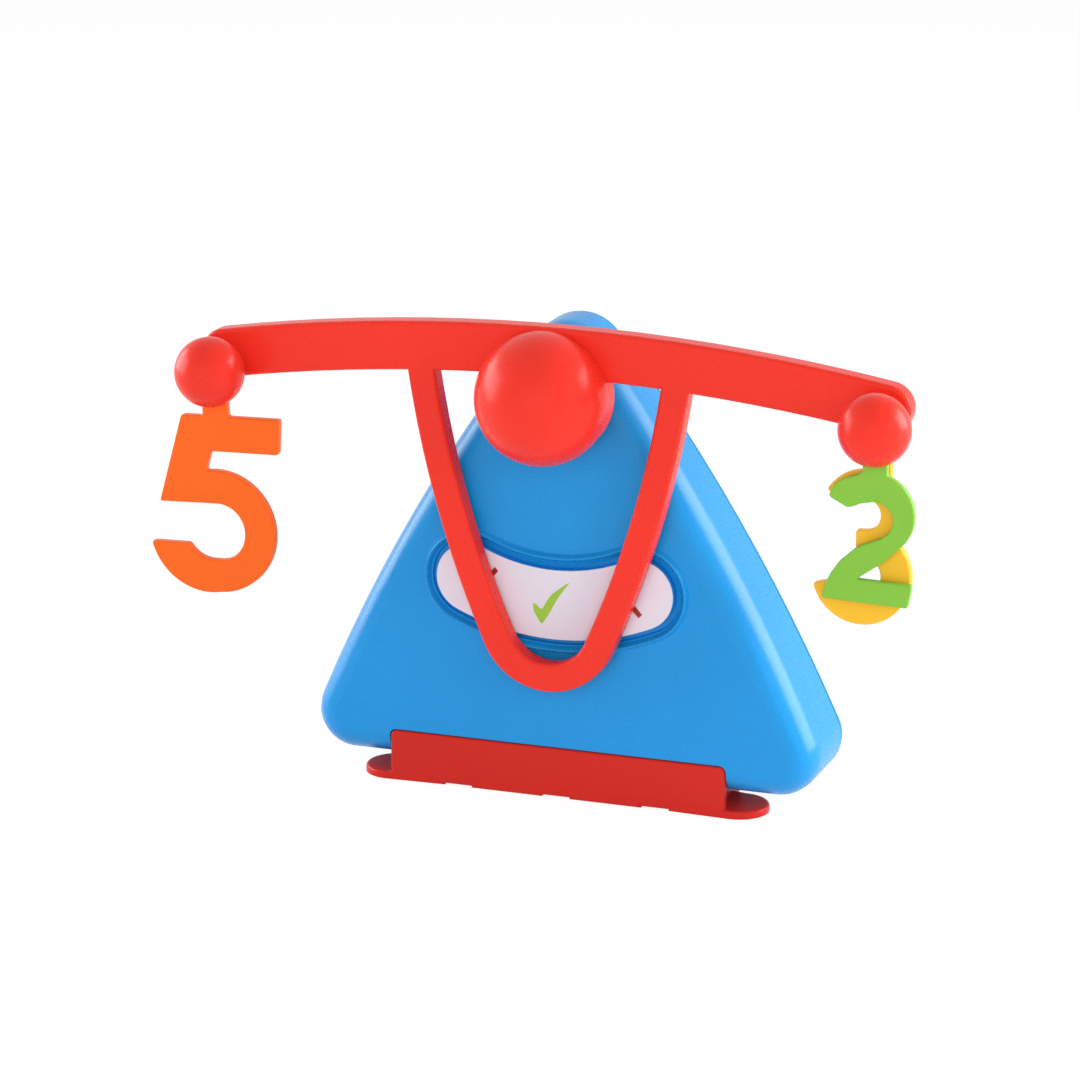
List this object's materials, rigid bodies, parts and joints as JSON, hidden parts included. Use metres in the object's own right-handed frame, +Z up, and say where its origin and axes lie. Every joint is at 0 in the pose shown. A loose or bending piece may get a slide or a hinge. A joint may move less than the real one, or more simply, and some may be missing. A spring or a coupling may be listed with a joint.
{
  "type": "toy balance scale",
  "caption": "Toy balance scale: an arched beam with a hanging pointer loop rocks on a wedge-shaped stand, and number weights hang from a knob at each end.",
  "frame": {"origin": "on the table under the middle of the foot", "axes": "+Z up, +X along the beam to the right as seen from the front, front towards -Y"},
  "size_m": [0.2998, 0.085, 0.1853],
  "materials": {
    "blue": "glossy moulded",
    "red": "glossy moulded",
    "foot_red": "satin moulded",
    "orange": "satin moulded",
    "green": "satin moulded",
    "yellow": "satin moulded",
    "label": "matte printed film",
    "tick_ink": "printed ink",
    "cross_ink": "printed ink",
    "steel": "plated"
  },
  "bodies": {
    "stand": {"front_shell": "blue", "rear_cover": "blue", "housing_screws": "steel", "dial_label": "label", "tick_mark": "tick_ink", "cross_marks": "cross_ink", "foot": "foot_red", "foot_screws": "steel"},
    "beam": {"balance_beam": "red", "pivot_axle": "steel", "axle_washer": "steel", "centre_dome": "red", "left_peg": "red", "left_ball": "red", "right_peg": "red", "right_ball": "red", "peg_screws": "steel"},
    "five": {"number_5": "orange"},
    "two": {"number_2": "green"},
    "three": {"number_3": "yellow"}
  },
  "joints": [
    {"name": "beam_tilt", "type": "hinge", "parent": "stand", "child": "beam", "pos_m": [0, -0.0275, 0.1595], "axis": [0, 1, 0], "range_deg": [-21, 21]},
    {"name": "five_swing", "type": "hinge", "parent": "beam", "child": "five", "pos_m": [-0.129, -0.0375, 0.1609], "axis": [0, 1, 0], "range_deg": [-40, 40]},
    {"name": "two_swing", "type": "hinge", "parent": "beam", "child": "two", "pos_m": [0.129, -0.0378, 0.1609], "axis": [0, 1, 0], "range_deg": [-40, 40]},
    {"name": "three_swing", "type": "hinge", "parent": "beam", "child": "three", "pos_m": [0.129, -0.0335, 0.1609], "axis": [0, 1, 0], "range_deg": [-40, 40]}
  ]
}
